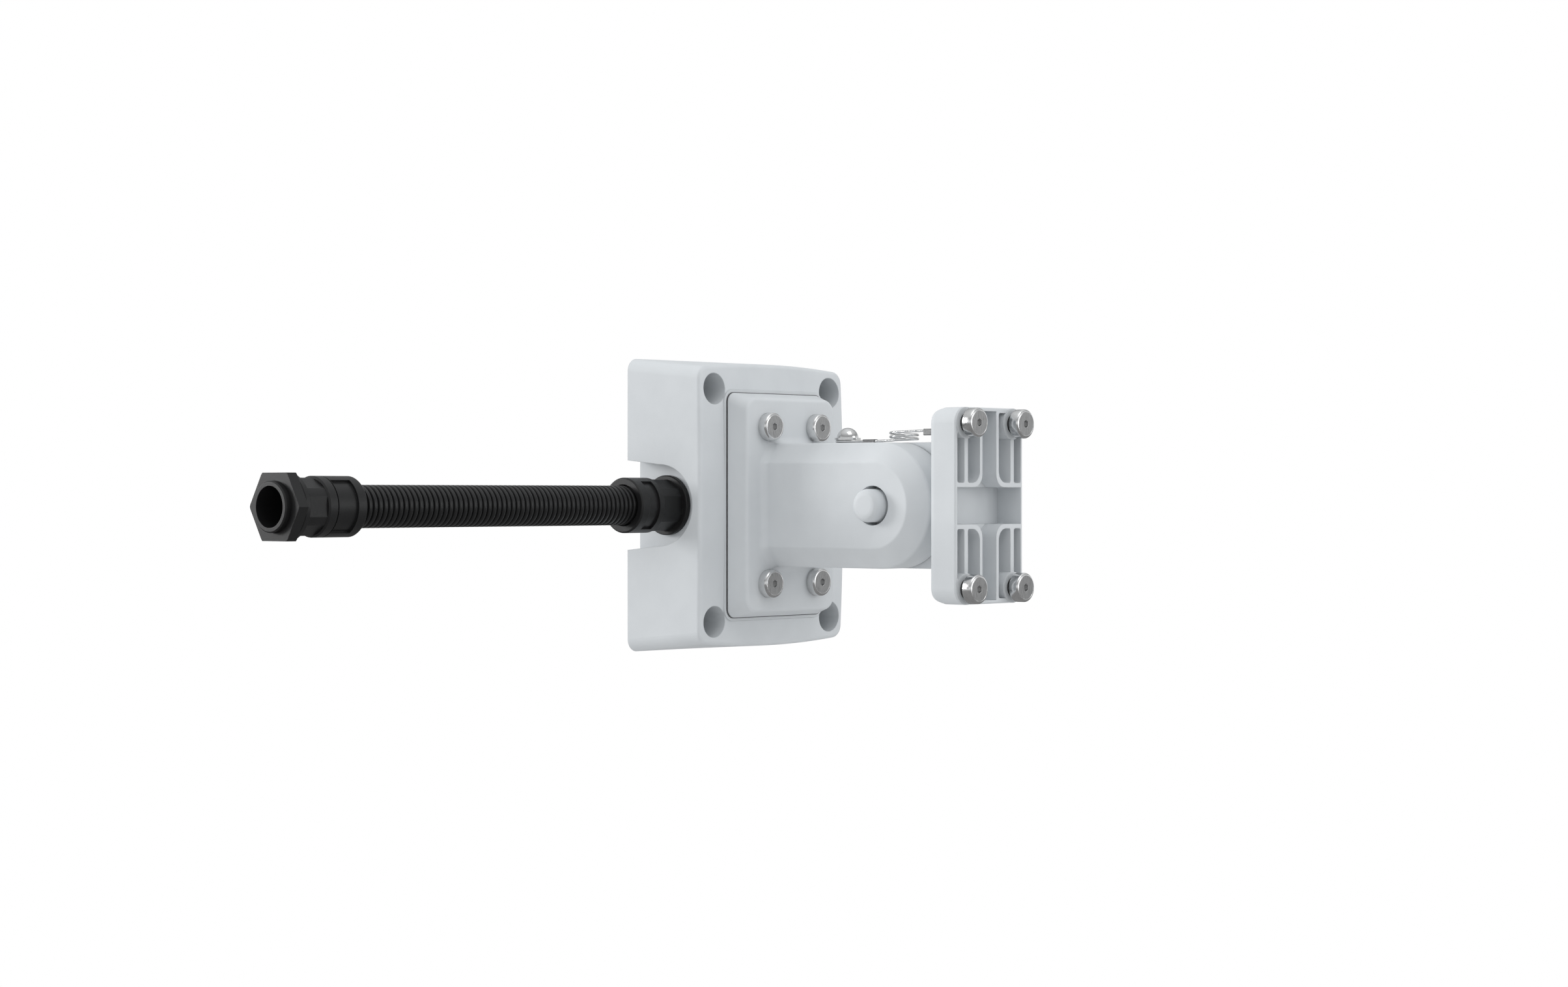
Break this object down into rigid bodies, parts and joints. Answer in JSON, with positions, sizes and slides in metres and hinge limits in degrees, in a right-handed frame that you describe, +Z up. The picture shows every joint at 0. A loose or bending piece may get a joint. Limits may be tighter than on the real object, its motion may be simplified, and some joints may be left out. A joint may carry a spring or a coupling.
{
  "type": "camera wall bracket",
  "caption": "Cast wall box with a flanged arm, a tilting ribbed camera plate, a coiled safety tether and a corrugated cable conduit with screw fittings.",
  "frame": {"origin": "centre of the four wall-screw holes, on the wall plane at the back of the box", "axes": "+X to the right along the wall as seen from the front, away from the conduit; -Y straight out of the wall towards the camera plate; +Z up"},
  "size_m": [0.3974, 0.2095, 0.162],
  "materials": {
    "cast_paint": "fine powder coat, light grey",
    "steel": "polished rim, brushed face",
    "wire": "stranded wire under a clear coat",
    "ferrule_metal": "matt, crimped",
    "gasket_rubber": "matt",
    "black_plastic": "moulded satin",
    "conduit_plastic": "moulded satin, corrugated"
  },
  "bodies": {
    "wall_side": {"back_box": "cast_paint", "flange_gasket": "gasket_rubber", "wall_arm": "cast_paint", "pivot_bolt": "cast_paint", "pivot_nut": "cast_paint", "pivot_washer": "steel", "pivot_friction_disc": "gasket_rubber", "tether_screw": "steel", "tether_washer": "steel", "tether_wire": "wire", "tether_ferrule_1": "ferrule_metal", "box_fitting_body": "black_plastic", "box_fitting_cap": "black_plastic", "box_fitting_locknut": "black_plastic", "end_fitting_body": "black_plastic", "end_fitting_cap": "black_plastic", "end_locknut": "black_plastic", "conduit_tube": "conduit_plastic", "flange_screw_1": "steel", "flange_screw_2": "steel", "flange_screw_3": "steel", "flange_screw_4": "steel"},
    "camera_side": {"camera_arm": "cast_paint", "camera_screw_1": "steel", "camera_screw_2": "steel", "camera_screw_3": "steel", "camera_screw_4": "steel", "tether_ferrule_2": "ferrule_metal", "tether_screw_2": "steel"}
  },
  "joints": [
    {"name": "tilt", "type": "hinge", "parent": "wall_side", "child": "camera_side", "pos_m": [0, -0.1402, 0], "axis": [1, 0, 0], "range_deg": [-40, 40], "deforming": ["tether_wire"]}
  ]
}
